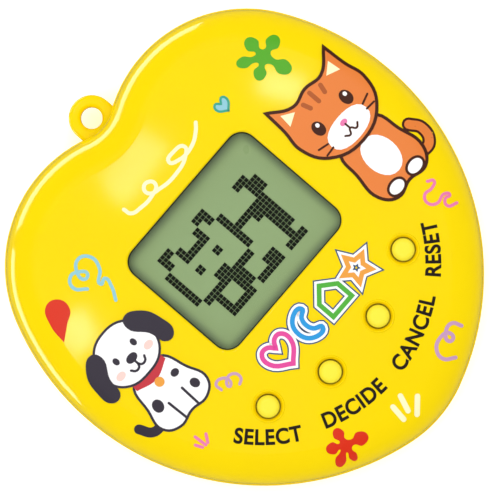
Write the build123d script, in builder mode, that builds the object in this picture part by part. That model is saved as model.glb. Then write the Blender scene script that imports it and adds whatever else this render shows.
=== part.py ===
"""Virtual pet keychain: a heart-shaped electronic toy with a screen, four keys and a keyring loop.

All sizes are in millimetres. The toy lies on its back: +Z comes out of the screen, +Y points to the
loop, and the origin is under the middle of the outline, on the surface that the back rests on.
"""
import os
from math import atan2, cos, degrees, hypot, radians, sin, sqrt

from build123d import *

os.makedirs("parts", exist_ok=True)

# Case outline: tangent arcs for the tip, the flanks, the two lobes and the notch between them.
body_width = 60.0
body_length = 59.9  # from the tip to the tops of the lobes
tip_radius = 17.2
lobe_radius = 18.2
lobe_inset = 1.75  # how far the lobes' sides stand in from the widest line
notch_radius = 6.0

# Case, through its thickness.
parting_z = 7.0
crown_radius = 150.0
front_round = 5.0
back_round = 3.0
rim_step = 0.25  # the back half stands proud of the front half all round
rim_round = 0.2
wall = 1.6
lip_height = 1.2
lip_wall = 0.7
seam_gap = 0.05

# Keyring loop, on the back half.
loop_web = 0.4  # between the notch and the loop's hole
loop_hole = 2.8
loop_ring = 1.6
loop_thickness = 3.2
loop_drop = 0.5  # below the parting line
loop_round = 0.6

# Window and lens.
window_rise = 35.05  # the window's centre above the tip
window_width = 23.5
window_height = 18.4
window_corner = 2.2
window_depth = 2.0  # from the crown to the lens
window_round = 0.3
lens_thickness = 1.0
lens_margin = 1.5
surround_wall = 2.5
assembly_gap = 0.1

# Liquid crystal display.
film = 0.2
film_margin = 1.0
glass = 0.7
glass_margin = 1.3
contact_ledge = 2.0  # the front glass reaches past the rear glass to carry its contacts
frame_wall = 1.1
strip_width = 1.6
strip_length = 24.0
display_standoff = 1.85
display_pads = 16

# Keys, on an arc below the window.
key_arc_radius = 26.6
key_arc_gap = 0.3  # from the display's frame to the mat
key_angles = {"select": -30.0, "decide": -10.2, "cancel": 10.2, "reset": 30.0}
key_radius = 1.48
key_play = 0.17
key_stand = 0.8
key_round = 0.7
key_travel = 0.6
key_dish = 0.3  # chamfer round each key's hole
collar_wall = 0.95
flange_lap = 0.55
flange_thickness = 0.6
column_radius = 1.2
pill_radius = 1.0
pill_thickness = 0.5
mat_thickness = 0.5
mat_margin = 3.2
dome_radius = 2.5
dome_web = 0.35

# Circuit board.
board_thickness = 1.0
board_clearance = 0.3
board_inset = 0.8  # inside the case's cavity
board_margin = 1.0  # past the posts, the mat and the display's frame
copper = 0.04
board_post_gap = 1.9  # from the display's frame
board_post_rise = 8.5  # above and below the window's centre
board_post_radius = 1.7
board_screw_radius = 0.646
board_screw_play = 0.119
board_screw_length = 3.6
board_head_radius = 1.445
board_head_height = 0.85

# Batteries: two LR44 cells side by side.
cell_radius = 5.8
cell_height = 5.4
cell_cap_radius = 4.7
cell_cap_height = 0.3
cell_gap = 1.0
cell_play = 0.4
cell_rest = 0.05
bay_wall = 1.0
bay_ceiling = 0.8
contact_thickness = 0.25
contact_width = 4.0
contact_shift = 3.0
contact_tail = 3.9

# Battery door, held by one screw.
door_thickness = 1.2
door_gap = 0.15
door_lap = 1.4
door_corner = 2.5
door_seat = 1.0
link_thickness = 0.2
tab_size = 2.5
tab_rise = 1.3
door_post_radius = 2.0
door_post_gap = 0.8
door_screw_length = 4.75
door_screw_radius = 0.75
door_screw_play = 0.05
door_head_radius = 1.7
door_head_height = 0.7

# Case screws.
case_post_radius = 2.6
case_post_gap = 0.3
lobe_screw_angle = 42.0
case_screw_radius = 0.95
case_screw_play = 0.15
case_screw_length = 8.0
case_head_radius = 1.9
case_head_height = 1.4
case_head_depth = 2.2

# Buzzer and the small parts under the board.
buzzer_radius = 6.0
buzzer_thickness = 0.2
ceramic_radius = 4.0
ceramic_thickness = 0.15
buzzer_seat = 0.6
buzzer_ring = 0.9
buzzer_gap = 0.8
sound_hole = 1.0
sound_circle = 2.4
chip_radius = 4.0
chip_height = 1.1
chip_round = 0.99
crystal_radius = 1.0
crystal_length = 6.0
block_length = 2.0
block_width = 1.25
block_rise = 6.0  # from the buzzer's middle
capacitor_height = 0.9
resistor_height = 0.5
wire_radius = 0.35
wire_bend = 1.1

# Heights, stacked from the back to the crown.
cell_z = door_thickness + link_thickness + cell_rest
contact_z = cell_z + cell_height
ceiling_z = contact_z + contact_thickness
board_z = ceiling_z + bay_ceiling + board_clearance
board_top = board_z + board_thickness
rear_film_z = board_top + display_standoff
rear_glass_z = rear_film_z + film
front_glass_z = rear_glass_z + glass
front_film_z = front_glass_z + glass
surround_z = front_film_z + film + assembly_gap / 2
lens_z = surround_z + assembly_gap
lens_top = lens_z + lens_thickness
thickness = lens_top + window_depth

# Places in the outline: heights above the tip, then places about the middle of the whole length.
lobe_x = body_width / 2 - lobe_inset - lobe_radius
lobe_rise = body_length - lobe_radius
notch_rise = lobe_rise + sqrt((lobe_radius + notch_radius) ** 2 - lobe_x**2)
loop_radius = loop_hole / 2 + loop_ring
loop_rise = notch_rise - notch_radius + loop_web + loop_hole / 2
tip_y = -max(body_length, loop_rise + loop_radius) / 2
tip_centre_y = tip_y + tip_radius
lobe_y = tip_y + lobe_rise
notch_y = tip_y + notch_rise
loop_y = tip_y + loop_rise
loop_z = parting_z - loop_drop - loop_thickness
window_y = tip_y + window_rise
cavity_inset = rim_step + wall

# The flank's arc touches the widest line, the tip's arc and the lobe's arc, which fixes its centre.
tip_reach = body_width / 2 - tip_radius
centre_rise = lobe_y - tip_centre_y
centre_shift = lobe_x + tip_radius - lobe_radius
flank_root = tip_reach * lobe_inset * (centre_rise**2 + (tip_reach - lobe_inset) * centre_shift)
flank_rise = (tip_reach * centre_rise - sqrt(flank_root)) / (tip_reach - lobe_inset)
flank_radius = (body_width / 2 + tip_radius) / 2 + flank_rise**2 / (2 * tip_reach)
flank_x = body_width / 2 - flank_radius
flank_y = tip_centre_y + flank_rise
tip_end = degrees(atan2(-flank_rise, -flank_x))
flank_end = degrees(atan2(lobe_y - flank_y, lobe_x - flank_x))
lobe_end = degrees(atan2(notch_y - lobe_y, -lobe_x))


# Sizes that follow from what fits inside.
lens_width = window_width + 2 * lens_margin
lens_height = window_height + 2 * lens_margin
surround_width = lens_width + 2 * surround_wall
surround_height = lens_height + 2 * surround_wall
glass_width = window_width + 2 * (glass_margin + contact_ledge / 2)
rear_glass_height = window_height + 2 * glass_margin
front_glass_height = rear_glass_height + 2 * contact_ledge
strip_y = rear_glass_height / 2 + contact_ledge / 2
frame_width = glass_width + assembly_gap + 2 * frame_wall
frame_height = front_glass_height + assembly_gap + 2 * frame_wall
key_hole_radius = key_radius + key_play
flange_radius = key_hole_radius + flange_lap
outer_key_y = window_y - frame_height / 2 - key_arc_gap - mat_margin
key_arc_y = outer_key_y + key_arc_radius * cos(radians(key_angles["reset"]))
outer_key_x = key_arc_radius * sin(radians(key_angles["reset"]))
collar_reach = hypot(outer_key_x, outer_key_y - window_y) + key_hole_radius + collar_wall
collar_z = thickness - crown_radius + sqrt(crown_radius**2 - collar_reach**2) - wall - assembly_gap
pill_z = board_top + copper + key_travel + seam_gap
flange_z = collar_z - assembly_gap - flange_thickness
bay_length = 4 * cell_radius + cell_gap + 2 * cell_play
bay_height = 2 * (cell_radius + cell_play)
bay_end = bay_length / 2 + bay_wall
cell_x = cell_radius + cell_gap / 2
contact_y = window_y + contact_shift
leaf_start = cell_x - contact_width / 2
door_screw_x = bay_end + door_post_gap + door_post_radius
door_left = -(bay_end + door_lap)
door_right = door_screw_x + door_post_radius + door_lap / 2
door_x = (door_left + door_right) / 2
door_length = door_right - door_left
door_height = bay_height + 2 * bay_wall + 2 * door_lap
tab_x = door_left + door_lap / 2
buzzer_y = window_y - bay_height / 2 - bay_wall - buzzer_gap - buzzer_ring - buzzer_radius
buzzer_z = wall + buzzer_seat
ceramic_z = buzzer_z + buzzer_thickness
post_reach = lobe_radius - cavity_inset - case_post_radius - case_post_gap
lobe_post_x = lobe_x + post_reach * cos(radians(lobe_screw_angle))
lobe_post_y = lobe_y + post_reach * sin(radians(lobe_screw_angle))
tip_post_y = tip_y + cavity_inset + case_post_radius + 2 * case_post_gap
case_posts = {
    "left": (-lobe_post_x, lobe_post_y),
    "right": (lobe_post_x, lobe_post_y),
    "tip": (0, tip_post_y),
}
board_post_x = frame_width / 2 + board_post_gap + board_post_radius
board_half_width = board_post_x + board_post_radius + board_margin
board_bottom = key_arc_y - key_arc_radius - mat_margin - board_margin
board_upper = window_y + frame_height / 2 + board_margin
board_posts = {
    "upper_left": (-board_post_x, window_y + board_post_rise),
    "upper_right": (board_post_x, window_y + board_post_rise),
    "lower_left": (-board_post_x, window_y - board_post_rise),
    "lower_right": (board_post_x, window_y - board_post_rise),
}


def key_place(angle):
    """Centre of the key that stands at this angle from straight down on the keys' arc."""
    x = key_arc_radius * sin(radians(angle))
    y = key_arc_y - key_arc_radius * cos(radians(angle))
    return x, y


def crown_height(x, y):
    """Height of the front's outer surface inside its rounded edge."""
    return thickness - crown_radius + sqrt(crown_radius**2 - x**2 - (y - window_y) ** 2)


def heart(inset):
    """Case outline moved inwards: every arc keeps its centre, so the offset is exact."""
    with BuildSketch() as outline:
        with BuildLine():
            CenterArc((0, tip_centre_y), tip_radius - inset, -90, 90 + tip_end)
            CenterArc((flank_x, flank_y), flank_radius - inset, tip_end, flank_end - tip_end)
            CenterArc((lobe_x, lobe_y), lobe_radius - inset, flank_end, lobe_end - flank_end)
            CenterArc((0, notch_y), notch_radius + inset, lobe_end - 180, 90 - lobe_end)
            mirror(about=Plane.YZ)
        make_face()
    return outline.sketch


def front_form(inset, depth):
    """Front half's outer form, or its cavity: the heart under a spherical crown, edge rounded."""
    with BuildPart() as form:
        with BuildSketch(Plane.XY.offset(parting_z)):
            add(heart(inset))
        extrude(amount=thickness - parting_z)
        with Locations((0, window_y, thickness - crown_radius)):
            Sphere(crown_radius - depth, rotation=(0, 90, 0), mode=Mode.INTERSECT)
        fillet(form.faces().sort_by(Axis.Z)[-1].edges(), radius=front_round - depth)
    return form.part


def back_form(inset, depth):
    """Back half's outer form, or its cavity: the heart with its back edge rounded."""
    with BuildPart() as form:
        with BuildSketch(Plane.XY.offset(depth)):
            add(heart(inset))
        extrude(amount=parting_z - depth)
        fillet(form.faces().sort_by(Axis.Z)[0].edges(), radius=back_round - depth)
    return form.part


front_outer = front_form(rim_step, 0)
back_outer = back_form(0, 0)
back_cavity = back_form(cavity_inset, wall)

# The front's cavity, less the posts, collars and lens surround that stand in it.
with BuildPart() as front_hollow:
    add(front_form(cavity_inset, wall))
    with BuildSketch(Plane.XY.offset(surround_z)):
        with Locations((0, window_y)):
            RectangleRounded(surround_width, surround_height, window_corner)
    extrude(amount=thickness - surround_z, mode=Mode.SUBTRACT)
    with BuildSketch(Plane.XY.offset(collar_z)):
        with Locations([key_place(angle) for angle in key_angles.values()]):
            Circle(key_hole_radius + collar_wall)
    extrude(amount=thickness - collar_z, mode=Mode.SUBTRACT)
    with BuildSketch(Plane.XY.offset(parting_z)):
        with Locations(list(case_posts.values())):
            Circle(case_post_radius)
    extrude(amount=thickness - parting_z, mode=Mode.SUBTRACT)
    with BuildSketch(Plane.XY.offset(board_top)):
        with Locations(list(board_posts.values())):
            Circle(board_post_radius)
    extrude(amount=thickness - board_top, mode=Mode.SUBTRACT)

# Front half of the case.
with BuildPart() as front_case:
    add(front_outer)
    add(front_hollow.part, mode=Mode.SUBTRACT)
    with BuildSketch(Plane.XY.offset(lens_top)):
        with Locations((0, window_y)):
            RectangleRounded(window_width, window_height, window_corner)
    extrude(amount=window_depth, mode=Mode.SUBTRACT)
    with BuildSketch(Plane.XY.offset(surround_z)):
        with Locations((0, window_y)):
            RectangleRounded(lens_width + assembly_gap, lens_height + assembly_gap, window_corner)
    extrude(amount=lens_top - surround_z, mode=Mode.SUBTRACT)
    with BuildSketch(Plane.XY.offset(collar_z)):
        with Locations([key_place(angle) for angle in key_angles.values()]):
            Circle(key_hole_radius)
    extrude(amount=thickness - collar_z, mode=Mode.SUBTRACT)
    crown = front_case.faces().filter_by(GeomType.SPHERE).sort_by(SortBy.AREA)[-1]
    key_rims = [wire.edges() for wire in crown.inner_wires() if len(wire.edges()) < 4]
    chamfer(key_rims, length=key_dish)
    crown = front_case.faces().filter_by(GeomType.SPHERE).sort_by(SortBy.AREA)[-1]
    window_rim = [wire.edges() for wire in crown.inner_wires() if len(wire.edges()) >= 8]
    fillet(window_rim, radius=window_round)
    with BuildSketch(Plane.XY.offset(parting_z)):
        with Locations(list(case_posts.values())):
            Circle(case_screw_radius)
    extrude(amount=case_head_depth + case_screw_length - parting_z + seam_gap, mode=Mode.SUBTRACT)
    with BuildSketch(Plane.XY.offset(board_top)):
        with Locations(list(board_posts.values())):
            Circle(board_screw_radius)
    extrude(amount=board_screw_length - board_thickness + seam_gap, mode=Mode.SUBTRACT)
    with BuildSketch(Plane.XY.offset(parting_z)):
        add(heart(cavity_inset - lip_wall - seam_gap))
        add(heart(cavity_inset), mode=Mode.SUBTRACT)
    extrude(amount=lip_height + seam_gap, mode=Mode.SUBTRACT)
front_case.part.label = "front_case"
export_step(front_case.part, "parts/front_case.step")

# Back half of the case, with the loop, the battery bay and the screw posts.
with BuildPart() as back_case:
    add(back_outer)
    rim = back_case.faces().sort_by(Axis.Z)[-1].edges()
    fillet(rim, radius=rim_round)
    add(back_cavity, mode=Mode.SUBTRACT)
    with BuildSketch(Plane.XY.offset(parting_z)):
        add(heart(cavity_inset - lip_wall))
        add(heart(cavity_inset), mode=Mode.SUBTRACT)
    extrude(amount=lip_height)
    with BuildSketch(Plane.XY.offset(wall)):
        with Locations(list(case_posts.values())):
            Circle(case_post_radius)
        with Locations((door_screw_x, window_y)):
            Circle(door_post_radius)
    extrude(amount=parting_z - wall)
    with BuildSketch(Plane.XY.offset(door_thickness + seam_gap)):
        with Locations((door_x, window_y)):
            RectangleRounded(door_length + 2 * bay_wall, door_height + 2 * bay_wall, door_corner)
    extrude(amount=door_seat)
    with BuildSketch(Plane.XY.offset(wall)):
        with Locations((0, window_y)):
            Rectangle(bay_length + 2 * bay_wall, bay_height + 2 * bay_wall)
    extrude(amount=ceiling_z + bay_ceiling - wall)
    with BuildSketch(Plane.XY.offset(wall)):
        with Locations((0, buzzer_y)):
            Circle(buzzer_radius + buzzer_ring)
    extrude(amount=buzzer_seat + buzzer_thickness + ceramic_thickness)
    with BuildSketch(Plane.XY.offset(buzzer_z)):
        with Locations((0, buzzer_y)):
            Circle(buzzer_radius + seam_gap)
    extrude(amount=parting_z - buzzer_z, mode=Mode.SUBTRACT)
    with BuildSketch(Plane.XY.offset(wall)):
        with Locations((0, buzzer_y)):
            Circle(buzzer_radius - buzzer_ring)
    extrude(amount=buzzer_seat, mode=Mode.SUBTRACT)
    with BuildSketch():
        with Locations((0, buzzer_y)):
            Circle(sound_hole / 2)
            with PolarLocations(sound_circle, 6):
                Circle(sound_hole / 2)
    extrude(amount=wall, mode=Mode.SUBTRACT)
    with BuildSketch():
        with Locations((door_x, window_y)):
            RectangleRounded(door_length + 2 * door_gap, door_height + 2 * door_gap, door_corner)
    extrude(amount=door_thickness + seam_gap, mode=Mode.SUBTRACT)
    with BuildSketch():
        with Locations((0, window_y)):
            Rectangle(bay_length, bay_height)
    extrude(amount=ceiling_z, mode=Mode.SUBTRACT)
    with BuildSketch(Plane.XY.offset(contact_z)):
        with Locations((0, contact_y)):
            Rectangle(2 * bay_end, contact_width + assembly_gap)
    extrude(amount=contact_thickness, mode=Mode.SUBTRACT)
    with BuildSketch():
        with Locations((tab_x, window_y)):
            Rectangle(bay_wall + 2 * door_gap, tab_size + 2 * door_gap)
    extrude(amount=door_thickness + tab_rise + door_gap, mode=Mode.SUBTRACT)
    with BuildSketch():
        with Locations((door_screw_x, window_y)):
            Circle(door_screw_radius + door_screw_play)
    extrude(amount=door_head_height + door_screw_length + 2 * door_gap, mode=Mode.SUBTRACT)
    with Locations([(x, y, 0) for x, y in case_posts.values()]):
        Cylinder(
            case_head_radius + case_screw_play,
            case_head_depth,
            align=(Align.CENTER, Align.CENTER, Align.MIN),
            mode=Mode.SUBTRACT,
        )
        Cylinder(
            case_screw_radius + case_screw_play,
            parting_z,
            align=(Align.CENTER, Align.CENTER, Align.MIN),
            mode=Mode.SUBTRACT,
        )
    with BuildSketch(Plane.XY.offset(loop_z)):
        with Locations((0, loop_y)):
            Circle(loop_radius)
            Rectangle(
                2 * loop_radius,
                loop_y - notch_y + notch_radius + wall / 2,
                align=(Align.CENTER, Align.MAX),
            )
    extrude(amount=loop_thickness)
    with Locations((0, loop_y, loop_z)):
        Cylinder(
            loop_hole / 2,
            loop_thickness,
            align=(Align.CENTER, Align.CENTER, Align.MIN),
            mode=Mode.SUBTRACT,
        )
    loop_rims = back_case.edges().filter_by(GeomType.CIRCLE).filter_by(
        lambda edge: hypot(edge.arc_center.X, edge.arc_center.Y - loop_y) < seam_gap
    )
    fillet(loop_rims, radius=loop_round)
back_case.part.label = "back_case"
export_step(back_case.part, "parts/back_case.step")

# Window lens, held in the pocket behind the window.
with BuildPart() as window_lens:
    with BuildSketch(Plane.XY.offset(lens_z)):
        with Locations((0, window_y)):
            RectangleRounded(lens_width, lens_height, window_corner)
    extrude(amount=lens_thickness)
window_lens.part.label = "window_lens"
export_step(window_lens.part, "parts/window_lens.step")

# Display: two glasses between two polarisers, the front glass longer to carry the contacts.
display_layers = {
    "lcd_front_polariser": (front_film_z, film, rear_glass_height - film_margin),
    "lcd_front_glass": (front_glass_z, glass, front_glass_height),
    "lcd_rear_glass": (rear_glass_z, glass, rear_glass_height),
    "lcd_rear_polariser": (rear_film_z, film, rear_glass_height - film_margin),
}
for name, (layer_z, layer_thickness, layer_height) in display_layers.items():
    with BuildPart() as layer:
        with BuildSketch(Plane.XY.offset(layer_z)):
            with Locations((0, window_y)):
                Rectangle(glass_width - (film_margin if layer_thickness == film else 0), layer_height)
        extrude(amount=layer_thickness)
    layer.part.label = name
    export_step(layer.part, f"parts/{name}.step")

# Frame that holds the display square between the board and the lens surround.
with BuildPart() as lcd_frame:
    with BuildSketch(Plane.XY.offset(board_top)):
        with Locations((0, window_y)):
            Rectangle(frame_width, frame_height)
            Rectangle(
                frame_width - 2 * frame_wall, frame_height - 2 * frame_wall, mode=Mode.SUBTRACT
            )
    extrude(amount=surround_z - board_top)
    add(front_hollow.part, mode=Mode.INTERSECT)
lcd_frame.part.label = "lcd_frame"
export_step(lcd_frame.part, "parts/lcd_frame.step")

# Conductive rubber strips between the front glass's contacts and the board's pads.
for name, side in (("upper", 1), ("lower", -1)):
    with BuildPart() as zebra_strip:
        with BuildSketch(Plane.XY.offset(board_top + copper)):
            with Locations((0, window_y + side * strip_y)):
                Rectangle(strip_length, strip_width)
        extrude(amount=front_glass_z - board_top - copper)
    zebra_strip.part.label = f"zebra_strip_{name}"
    export_step(zebra_strip.part, f"parts/zebra_strip_{name}.step")

# Keys: a domed cap with a flange, a carbon pill, and the rubber dome between them.
for name, angle in key_angles.items():
    key_x, key_y = key_place(angle)
    with BuildPart(Plane((key_x, key_y, flange_z))) as cap:
        Cylinder(flange_radius, flange_thickness, align=(Align.CENTER, Align.CENTER, Align.MIN))
        Cylinder(
            key_radius,
            crown_height(key_x, key_y) + key_stand - flange_z,
            align=(Align.CENTER, Align.CENTER, Align.MIN),
        )
        fillet(cap.faces().sort_by(Axis.Z)[-1].edges(), radius=key_round)
    cap.part.label = f"{name}_button"
    export_step(cap.part, f"parts/{name}_button.step")

    with BuildPart(Plane((key_x, key_y, pill_z))) as pill:
        Cylinder(pill_radius, pill_thickness, align=(Align.CENTER, Align.CENTER, Align.MIN))
    pill.part.label = f"{name}_pill"
    export_step(pill.part, f"parts/{name}_pill.step")

    with BuildPart() as dome:
        with BuildSketch(Plane((key_x, key_y, board_top), x_dir=(1, 0, 0), z_dir=(0, -1, 0))):
            with BuildLine():
                column_foot = pill_z + pill_thickness - board_top
                column_top = flange_z - board_top
                web_foot = dome_radius - 2 * dome_web
                Polyline(
                    (0, column_foot),
                    (column_radius, column_foot),
                    (web_foot, dome_web),
                    (web_foot, 0),
                    (dome_radius, 0),
                    (dome_radius, mat_thickness),
                    (column_radius, column_foot + dome_web + mat_thickness / 2),
                    (column_radius, column_top),
                    (0, column_top),
                    close=True,
                )
            make_face()
        revolve(axis=Axis((key_x, key_y, 0), (0, 0, 1)))
    dome.part.label = f"{name}_dome"
    export_step(dome.part, f"parts/{name}_dome.step")

# Rubber mat that the four domes stand in, round the keys.
with BuildPart() as keypad_mat:
    with BuildSketch(Plane.XY.offset(board_top)) as mat_outline:
        with Locations([key_place(angle) for angle in key_angles.values()]):
            Circle(mat_margin)
        make_hull(mat_outline.edges())
        with Locations([key_place(angle) for angle in key_angles.values()]):
            Circle(dome_radius, mode=Mode.SUBTRACT)
    extrude(amount=mat_thickness)
keypad_mat.part.label = "keypad_mat"
export_step(keypad_mat.part, "parts/keypad_mat.step")

# Circuit board, cut to the case and bitten out round the lobe posts.
with BuildPart() as circuit_board:
    with BuildSketch(Plane.XY.offset(board_z)):
        add(heart(cavity_inset + board_inset))
        with Locations((0, (board_upper + board_bottom) / 2)):
            Rectangle(2 * board_half_width, board_upper - board_bottom, mode=Mode.INTERSECT)
        with Locations([case_posts["left"], case_posts["right"], case_posts["tip"]]):
            Circle(case_post_radius + board_inset, mode=Mode.SUBTRACT)
        with Locations(list(board_posts.values())):
            Circle(board_screw_radius + board_screw_play, mode=Mode.SUBTRACT)
    extrude(amount=board_thickness)
circuit_board.part.label = "circuit_board"
export_step(circuit_board.part, "parts/circuit_board.step")

# Copper pads: interleaved fingers under each key, and a row under each conductive strip.
with BuildPart() as key_contacts:
    with BuildSketch(Plane.XY.offset(board_top)):
        with Locations([key_place(angle) for angle in key_angles.values()]):
            with Locations((-0.8, 0), (0, 0), (0.8, 0)):
                Rectangle(0.4, 2.2)
            with Locations((-0.4, 0), (0.4, 0)):
                Rectangle(0.25, 2.2)
    extrude(amount=copper)
key_contacts.part.label = "key_contacts"
export_step(key_contacts.part, "parts/key_contacts.step")

with BuildPart() as display_contacts:
    pad_pitch = strip_length / display_pads
    with BuildSketch(Plane.XY.offset(board_top)):
        with Locations((0, window_y + strip_y), (0, window_y - strip_y)):
            with GridLocations(pad_pitch, 0, display_pads, 1):
                Rectangle(pad_pitch * 0.6, strip_width)
    extrude(amount=copper)
display_contacts.part.label = "display_contacts"
export_step(display_contacts.part, "parts/display_contacts.step")

# Battery cells: the can, with its smaller cap up on the left cell and down on the right one.
for name, side in (("left", -1), ("right", 1)):
    cap_z = cell_height - cell_cap_height if side < 0 else 0
    can_z = 0 if side < 0 else cell_cap_height
    with BuildPart(Plane((side * cell_x, window_y, cell_z))) as cell:
        with Locations((0, 0, can_z)):
            Cylinder(
                cell_radius,
                cell_height - cell_cap_height,
                align=(Align.CENTER, Align.CENTER, Align.MIN),
            )
        fillet(cell.edges(), radius=cell_cap_height)
        with Locations((0, 0, cap_z)):
            Cylinder(
                cell_cap_radius, cell_cap_height, align=(Align.CENTER, Align.CENTER, Align.MIN)
            )
    cell.part.label = f"battery_cell_{name}"
    export_step(cell.part, f"parts/battery_cell_{name}.step")

    # Contact leaf over the cell, bent down outside the bay's end wall.
    with BuildPart() as contact:
        with BuildSketch(Plane.XY.offset(contact_z)):
            with Locations((side * (bay_end + contact_thickness + leaf_start) / 2, contact_y)):
                Rectangle(bay_end + contact_thickness - leaf_start, contact_width)
        extrude(amount=contact_thickness)
        with BuildSketch(Plane.XY.offset(ceiling_z)):
            with Locations((side * (bay_end + contact_thickness / 2), contact_y)):
                Rectangle(contact_thickness, contact_width)
        extrude(amount=-contact_tail)
    contact.part.label = f"battery_contact_{name}"
    export_step(contact.part, f"parts/battery_contact_{name}.step")

    # Wire from the contact's tail up to the board.
    wire_foot = Vector(side * (bay_end + contact_thickness), contact_y, ceiling_z - contact_tail / 2)
    wire_corner = wire_foot + Vector(side * (wire_bend + 2 * wire_radius), 0, 0)
    with BuildPart() as battery_wire:
        with BuildLine() as route:
            FilletPolyline(
                wire_foot,
                wire_corner,
                Vector(wire_corner.X, wire_corner.Y, board_z),
                radius=wire_bend,
            )
        with BuildSketch(Plane(wire_foot, z_dir=(side, 0, 0))):
            Circle(wire_radius)
        sweep(path=route.line)
    colour = "black" if side < 0 else "red"
    battery_wire.part.label = f"battery_wire_{colour}"
    export_step(battery_wire.part, f"parts/battery_wire_{colour}.step")

# Battery door, flush with the back, with an upright tab at its far end.
with BuildPart() as battery_door:
    with BuildSketch():
        with Locations((door_x, window_y)):
            RectangleRounded(door_length, door_height, door_corner)
    extrude(amount=door_thickness)
    with BuildSketch(Plane.XY.offset(door_thickness)):
        with Locations((tab_x, window_y)):
            Rectangle(bay_wall, tab_size)
    extrude(amount=tab_rise)
    with Locations((door_screw_x, window_y, 0)):
        Cylinder(
            door_head_radius + door_screw_play,
            door_head_height + door_screw_play,
            align=(Align.CENTER, Align.CENTER, Align.MIN),
            mode=Mode.SUBTRACT,
        )
        Cylinder(
            door_screw_radius,
            door_thickness,
            align=(Align.CENTER, Align.CENTER, Align.MIN),
            mode=Mode.SUBTRACT,
        )
battery_door.part.label = "battery_door"
export_step(battery_door.part, "parts/battery_door.step")

# Strip on the door that joins the two cells.
with BuildPart() as door_link:
    with BuildSketch(Plane.XY.offset(door_thickness)):
        with Locations((0, window_y)):
            RectangleRounded(2 * cell_x + contact_width, contact_width, contact_width / 4)
    extrude(amount=link_thickness)
door_link.part.label = "door_link"
export_step(door_link.part, "parts/door_link.step")


def screw(head_radius, head_height, shank_radius, shank_length):
    """Cross-head screw standing on the plane of its head's outer face, shank along +Z."""
    with BuildPart() as body:
        Cylinder(head_radius, head_height, align=(Align.CENTER, Align.CENTER, Align.MIN))
        fillet(body.faces().sort_by(Axis.Z)[0].edges(), radius=head_height / 3)
        with Locations((0, 0, head_height)):
            Cylinder(shank_radius, shank_length, align=(Align.CENTER, Align.CENTER, Align.MIN))
        chamfer(body.faces().sort_by(Axis.Z)[-1].edges(), length=shank_radius / 2)
        with BuildSketch():
            Rectangle(head_radius * 1.2, head_radius * 0.22)
            Rectangle(head_radius * 0.22, head_radius * 1.2)
        extrude(amount=head_height * 0.55, mode=Mode.SUBTRACT)
    return body.part


door_screw_form = screw(door_head_radius, door_head_height, door_screw_radius, door_screw_length)
with BuildPart() as door_screw:
    with Locations((door_screw_x, window_y, door_screw_play)):
        add(door_screw_form)
door_screw.part.label = "door_screw"
export_step(door_screw.part, "parts/door_screw.step")

case_screw_form = screw(case_head_radius, case_head_height, case_screw_radius, case_screw_length)
for name, (post_x, post_y) in case_posts.items():
    with BuildPart() as case_screw:
        with Locations((post_x, post_y, case_head_depth - case_head_height)):
            add(case_screw_form)
    case_screw.part.label = f"case_screw_{name}"
    export_step(case_screw.part, f"parts/case_screw_{name}.step")

board_screw_form = screw(board_head_radius, board_head_height, board_screw_radius, board_screw_length)
for name, (post_x, post_y) in board_posts.items():
    with BuildPart() as board_screw:
        with Locations((post_x, post_y, board_z - board_head_height)):
            add(board_screw_form)
    board_screw.part.label = f"board_screw_{name}"
    export_step(board_screw.part, f"parts/board_screw_{name}.step")

# Buzzer: a brass disc with its ceramic, seated in the ring over the sound holes.
with BuildPart(Plane((0, buzzer_y, buzzer_z))) as buzzer_disc:
    Cylinder(buzzer_radius, buzzer_thickness, align=(Align.CENTER, Align.CENTER, Align.MIN))
buzzer_disc.part.label = "buzzer_disc"
export_step(buzzer_disc.part, "parts/buzzer_disc.step")

with BuildPart(Plane((0, buzzer_y, ceramic_z))) as buzzer_ceramic:
    Cylinder(ceramic_radius, ceramic_thickness, align=(Align.CENTER, Align.CENTER, Align.MIN))
buzzer_ceramic.part.label = "buzzer_ceramic"
export_step(buzzer_ceramic.part, "parts/buzzer_ceramic.step")

buzzer_leads = {
    "red": (ceramic_radius / 2, ceramic_z + ceramic_thickness, 1),
    "black": ((ceramic_radius + buzzer_radius) / -2, ceramic_z, -1),
}
for colour, (lead_x, lead_z, side) in buzzer_leads.items():
    lead_foot = Vector(lead_x, buzzer_y, lead_z)
    lead_knee = lead_foot + Vector(0, 0, 2 * wire_bend)
    lead_turn = lead_knee + Vector(side * (chip_radius + 2 * wire_bend), 0, 0)
    with BuildPart() as buzzer_wire:
        with BuildLine() as route:
            FilletPolyline(
                lead_foot,
                lead_knee,
                lead_turn,
                Vector(lead_turn.X, buzzer_y, board_z),
                radius=wire_bend,
            )
        with BuildSketch(Plane(lead_foot)):
            Circle(wire_radius)
        sweep(path=route.line)
    buzzer_wire.part.label = f"buzzer_wire_{colour}"
    export_step(buzzer_wire.part, f"parts/buzzer_wire_{colour}.step")

# Parts soldered under the board: the chip's resin blob, the clock crystal and the small blocks.
with BuildPart(Plane((0, buzzer_y, board_z))) as chip_blob:
    Cylinder(chip_radius, chip_height, align=(Align.CENTER, Align.CENTER, Align.MAX))
    fillet(chip_blob.faces().sort_by(Axis.Z)[0].edges(), radius=chip_round)
chip_blob.part.label = "chip_blob"
export_step(chip_blob.part, "parts/chip_blob.step")

small_parts = {  # place across the board, height
    "capacitor_left": (-8.5, capacitor_height),
    "capacitor_right": (8.5, capacitor_height),
    "resistor": (11.5, resistor_height),
}
for name, (block_x, height) in small_parts.items():
    with BuildPart(Plane((block_x, buzzer_y + block_rise, board_z))) as block:
        Box(block_length, block_width, height, align=(Align.CENTER, Align.CENTER, Align.MAX))
    block.part.label = name
    export_step(block.part, f"parts/{name}.step")

with BuildPart(Plane((0, buzzer_y - chip_radius - 2 * crystal_radius, board_z - crystal_radius))) as crystal:
    Cylinder(crystal_radius, crystal_length, rotation=(0, 90, 0))
crystal.part.label = "crystal"
export_step(crystal.part, "parts/crystal.step")
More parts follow.
